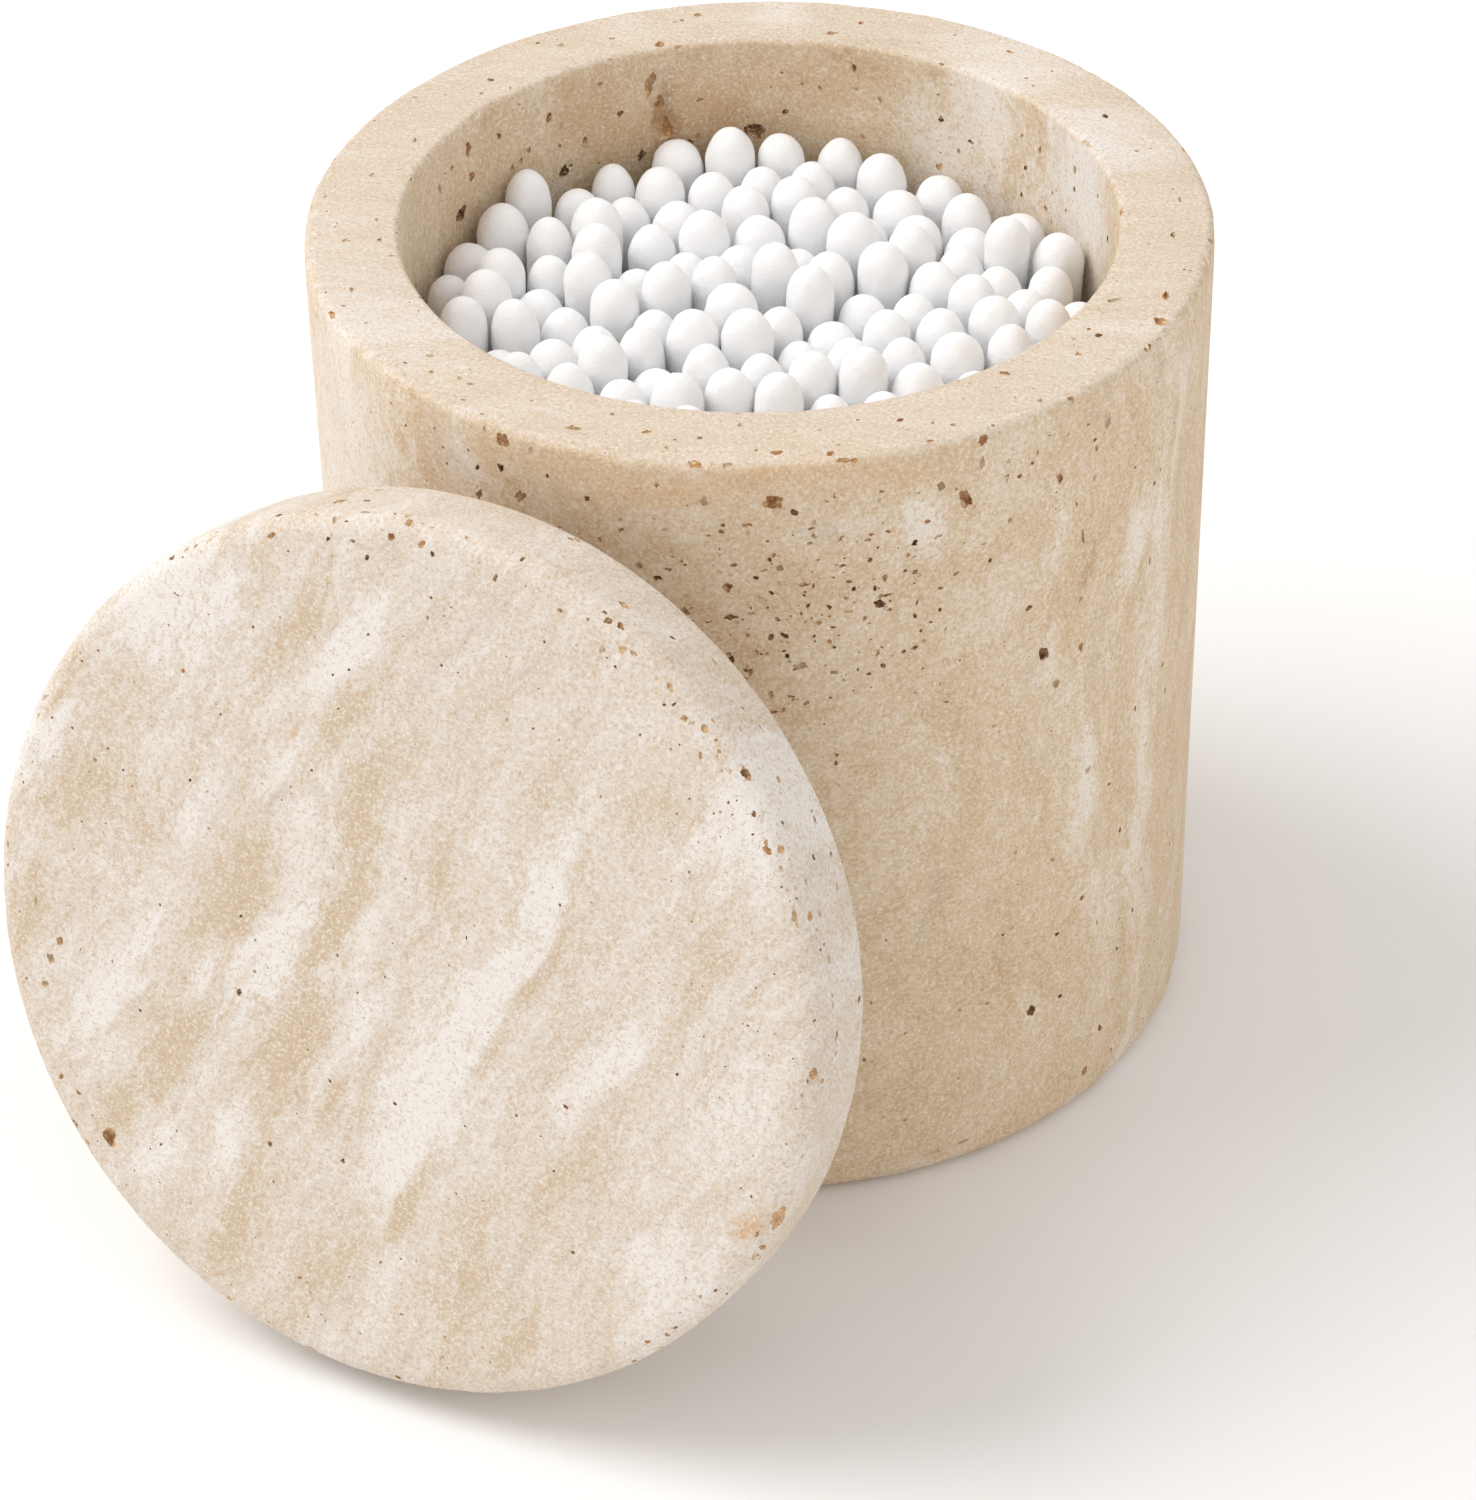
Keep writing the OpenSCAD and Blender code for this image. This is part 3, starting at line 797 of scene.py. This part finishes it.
front = math.atan2(EYE.y, EYE.x)
to_front, _ = on_ring(1.0, front, 0.0)
for i in range(420):
    # the sides that the photograph doesn't show, in gathered beds like the front's
    p, n = on_ring(CUP_R, any_turn(), rng.uniform(2, 97))
    gather = noise.noise(Vector((p.x * 0.05 + 7, p.y * 0.05, p.z * 0.02)))
    if gather < rng.uniform(-0.25, 0.35) or n.dot(to_front) > 0.12:
        continue
    w = 0.35 + 1.6 * rng.random() ** 3
    cut.add(p, n, w * rng.uniform(0.6, 1.3), w * rng.uniform(0.7, 1.8), 0.3 * w + 0.1,
            rng.choice((RUST, RUST, DARK, PALE, PALE)))
for i in range(190):
    # fine ones on the front, most of them high up
    p, n = on_ring(CUP_R, front + rng.uniform(-1.5, 1.5), 97 - 90 * rng.random() ** 1.7)
    w = rng.uniform(0.25, 0.55)
    cut.add(p, n, w, w * rng.uniform(0.7, 1.6), 0.3 * w + 0.08, rng.choice((RUST, DARK, PALE, PALE)))
for i in range(170):
    # and a swarm of them beside the lid
    p, n = on_ring(CUP_R, math.radians(rng.gauss(-60, 11)), rng.gauss(83, 6.5))
    if p.z < 96:
        w = rng.uniform(0.25, 0.62)
        cut.add(p, n, w * rng.uniform(0.8, 1.5), w * rng.uniform(0.7, 1.2), 0.3 * w + 0.08,
                rng.choice((RUST, RUST, DARK, PALE)))
for i in range(110):
    # the rim's flat
    p, _ = on_ring(rng.uniform(WELL_R + 0.5, CUP_R - 0.3), any_turn(), CUP_H)
    w = rng.uniform(0.25, 0.65)
    cut.add(p, UP, w, w * rng.uniform(0.6, 1.2), 0.25 * w + 0.08, rng.choice((RUST, PALE, PALE)), up=RIM_UP)
for i in range(110):
    # both edges of the rim
    outer = rng.random() < 0.65
    p, n = on_ring(CUP_R - 0.35 if outer else WELL_R + 0.25, any_turn(), CUP_H - 0.3)
    w = 0.3 + 0.8 * rng.random() ** 3
    cut.add(p, ((n if outer else -n) + UP).normalized(), w * rng.uniform(0.8, 2.0), w, 0.28 * w + 0.06,
            rng.choice((RUST, PALE, PALE)))
for i in range(90):
    # the well's wall above the swabs
    p, n = on_ring(WELL_R, any_turn(), CUP_H - rng.uniform(1.5, 14))
    w = 0.25 + 0.6 * rng.random() ** 2
    cut.add(p, -n, w, w * rng.uniform(0.8, 1.6), 0.3 * w + 0.1, rng.choice((RUST, RUST, DARK, PALE)))
cut.carve(cup)
smooth(cup)
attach(cup, "root")
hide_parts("cup")

# ---------------------------------------------------------------- the lid
lid_line = (
    [(0.0, -RING_H)]
    + quarter(RING_R - RING_ROUND, RING_ROUND - RING_H, RING_ROUND, -90, 0)
    + [(RING_R, 0.0)]
    + quarter(LID_R - LID_UNDER_ROUND, LID_UNDER_ROUND, LID_UNDER_ROUND, -90, 0)
    + quarter(LID_R - LID_TOP_ROUND, LID_T - LID_TOP_ROUND, LID_TOP_ROUND, 0, 90)
    + [(0.0, LID_T)]
)


def lid_edges(co):
    """How much the lid is worn at a place, in mm."""
    r = math.hypot(co.x, co.y)
    if r > LID_R - 2.6 and co.z > LID_T - 2.6:
        return 0.18
    if r > LID_R - 1.1 and co.z < 1.1:
        return 0.12
    return 0.0


lid = turned("lid_stone", lid_line, lid_edges, lid_place, lid_stone)
cut = Voids(random.Random(31))
LID_UP = lid_turn @ Vector((0, 1, 0))
for x, y, w, h, kind in LID_VOIDS:
    at, n = on_lid(x, y)
    wide, tall = w / PX * 0.95, h / PX * 0.95
    cut.add(at, n, wide, tall, 0.48 * min(wide, tall) + 0.12, kind, up=LID_UP)


def on_disc(r, turn, z):
    """A place on the lid by its distance and turn round the lid's axis and its height there."""
    return lid_place @ Vector((r * math.cos(turn), r * math.sin(turn), z))


for i in range(230):
    # the face, most of them towards its edge
    r = LID_R - 2 - rng.random() ** 2 * 14 if rng.random() < 0.65 else (LID_R - 2) * math.sqrt(rng.random())
    w = rng.uniform(0.18, 0.42)
    at = on_disc(r, any_turn(), LID_T)
    cut.add(at, LID_N, w, w * rng.uniform(0.6, 1.3), 0.25 * w + 0.08, rng.choice((RUST, DARK, PALE)),
            up=LID_UP)
for i in range(330):
    # the rounding between face and side, gathered here and there
    turn = any_turn()
    if noise.noise(Vector((math.cos(turn) * 3 + 5, math.sin(turn) * 3, 0))) < rng.uniform(-0.30, 0.25):
        continue
    slope = math.radians(rng.uniform(15, 75))
    out, rise = math.cos(slope), math.sin(slope)
    at = on_disc(LID_R - LID_TOP_ROUND * (1 - out), turn, LID_T - LID_TOP_ROUND * (1 - rise))
    n = lid_turn @ Vector((math.cos(turn) * out, math.sin(turn) * out, rise))
    w = 0.25 + 0.75 * rng.random() ** 3
    cut.add(at, n, w * rng.uniform(0.8, 1.6), w * rng.uniform(0.6, 1.1), 0.28 * w + 0.07,
            rng.choice((RUST, DARK, PALE, PALE)), up=LID_N)
for i in range(130):
    # the side
    turn = any_turn()
    w = 0.25 + 0.9 * rng.random() ** 3
    at = on_disc(LID_R, turn, rng.uniform(1.0, LID_T - 1.5))
    n = lid_turn @ Vector((math.cos(turn), math.sin(turn), 0))
    cut.add(at, n, w, w * rng.uniform(0.5, 0.9), 0.3 * w + 0.1, rng.choice((RUST, DARK, PALE, PALE)), up=LID_N)
for i in range(60):
    # the underside
    w = 0.3 + 1.0 * rng.random() ** 3
    at = on_disc((RING_R - 2) * math.sqrt(rng.random()), any_turn(), -RING_H)
    cut.add(at, -LID_N, w, w * rng.uniform(0.6, 1.3), 0.3 * w + 0.1, rng.choice((RUST, DARK, PALE)),
            up=LID_UP)
cut.carve(lid)
smooth(lid)
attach(lid, "root")
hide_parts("lid")


# ---------------------------------------------------------------- the swabs
def loose_parts(mesh):
    """The separate solids of a CAD node, each as an array of its points in mm."""
    co = np.array([v.co for v in mesh.vertices], float) * 1000
    # points that share a place are one
    _, same = np.unique(np.round(co, 3), axis=0, return_inverse=True)
    same = np.asarray(same).ravel()
    link = np.arange(same.max() + 1)

    def root(i):
        while link[i] != i:
            link[i] = link[link[i]]
            i = link[i]
        return i

    for p in mesh.polygons:
        first = root(same[p.vertices[0]])
        for v in p.vertices[1:]:
            other = root(same[v])
            if other != first:
                link[other] = first
    groups = {}
    for i, s in enumerate(same):
        groups.setdefault(root(s), []).append(i)
    return [co[g] for g in groups.values()]


def tip_line(points):
    """Nose, direction from nose to tail, length and radius of one upper tip."""
    nose = points[np.argmax(points[:, 2])]
    d = points - nose
    far = d[np.linalg.norm(d, axis=1) > 0.93 * np.linalg.norm(d, axis=1).max()]
    axis = far.mean(0)
    axis /= np.linalg.norm(axis)
    along = d @ axis
    across = np.linalg.norm(d - np.outer(along, axis), axis=1)
    return Vector(nose), Vector(axis), float(along.max()), float(across.max())


FAT_AT = 4.0         # mm from the nose to the fattest place
TAIL_R = 1.55        # radius in mm where the winding ends
NOSE_RINGS, BODY_RINGS, TIP_AROUND = 12, 8, 26


def tip_mesh(bm, nose, axis, length, radius, rng):
    """A wound cotton tip: egg-shaped, never quite round, a little lumpy where the winding ends."""
    side = axis.cross(Vector((0.3, 1, 0.1))).normalized()
    over = axis.cross(side).normalized()
    shift = Vector((rng.uniform(-40, 40), rng.uniform(-40, 40), rng.uniform(-40, 40)))
    blunt = rng.uniform(0.80, 1.15)
    line = []
    for i in range(1, NOSE_RINGS + 1):
        a = math.pi / 2 * i / NOSE_RINGS
        line.append((FAT_AT * (1 - math.cos(a) ** blunt), radius * math.sin(a)))
    for i in range(1, BODY_RINGS + 1):
        t = i / BODY_RINGS
        line.append((FAT_AT + (length - FAT_AT) * t, radius - (radius - TAIL_R) * t * t))
    top = bm.verts.new(nose + axis * 0.02)
    rings = []
    for s, r in line:
        ring = []
        for j in range(TIP_AROUND):
            a = 2 * math.pi * j / TIP_AROUND
            u = Vector((math.cos(a), math.sin(a), s * 0.28))
            k = 1.0 + 0.05 * noise.noise(u * 1.1 + shift) + 0.035 * noise.noise(u * 2.6 + shift)
            out = side * math.cos(a) + over * math.sin(a)
            ring.append(bm.verts.new(nose + axis * s + out * (r * k)))
        rings.append(ring)
    for j in range(TIP_AROUND):
        bm.faces.new((top, rings[0][(j + 1) % TIP_AROUND], rings[0][j]))
    for a, b in zip(rings, rings[1:]):
        for j in range(TIP_AROUND):
            k = (j + 1) % TIP_AROUND
            bm.faces.new((a[j], a[k], b[k], b[j]))
    tail = bm.verts.new(nose + axis * length)
    for j in range(TIP_AROUND):
        bm.faces.new((tail, rings[-1][j], rings[-1][(j + 1) % TIP_AROUND]))


rng = random.Random(5)
for name in sorted(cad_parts):
    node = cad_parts[name]
    if name.startswith("upper_tips_row_"):
        bm = bmesh.new()
        for points in loose_parts(node.data):
            tip_mesh(bm, *tip_line(points), rng)
        bmesh.ops.recalc_face_normals(bm, faces=bm.faces)
        bmesh.ops.transform(bm, matrix=Matrix.Scale(MM, 4), verts=bm.verts)
        for f in bm.faces:
            f.smooth = True
        o = to_object("cotton_" + name[len("upper_"):], bm, [cotton])
        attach(o, "root")
        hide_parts(name)
    elif name.startswith("lower_tips_row_"):
        node.data.materials.clear()
        node.data.materials.append(cotton)
    elif name.startswith("sticks_row_"):
        node.data.materials.clear()
        node.data.materials.append(paper)

# ---------------------------------------------------------------- floor, light
FLOOR_HALF = 6.0
FLOOR_GAP = 0.05 * MM          # keeps the floor off the cup's base
floor_material = Net("floor").finish(Base_Color=(0.93, 0.93, 0.93, 1.0), Roughness=0.9, Specular_IOR_Level=0.05)
bm = bmesh.new()
bmesh.ops.create_grid(bm, x_segments=1, y_segments=1, size=FLOOR_HALF)
floor = to_object("floor", bm, [floor_material])
floor.location = (0, 0, -FLOOR_GAP)

world = bpy.data.worlds.new("studio")
bpy.context.scene.world = world
world.use_nodes = True
back = world.node_tree.nodes["Background"]
back.inputs["Color"].default_value = (1.0, 0.970, 0.945, 1.0)
back.inputs["Strength"].default_value = 0.76
AIM = Vector((0.0, 0.0, 0.05))


def area_light(name, at, size, power):
    """A round studio light aimed at the cup's middle: place and size in metres, power in watts."""
    data = bpy.data.lights.new(name, "AREA")
    data.shape = "DISK"
    data.size = size
    data.energy = power
    o = bpy.data.objects.new(name, data)
    bpy.context.scene.collection.objects.link(o)
    o.location = at
    o.rotation_mode = "QUATERNION"
    o.rotation_quaternion = (AIM - Vector(at)).to_track_quat("-Z", "Y")


area_light("key", (-1.26, -0.41, 1.82), 1.6, 27.5)
area_light("fill", (1.70, -0.70, 1.10), 2.0, 2.5)

scene = bpy.context.scene
scene.view_settings.view_transform = "Standard"
scene.view_settings.look = "None"
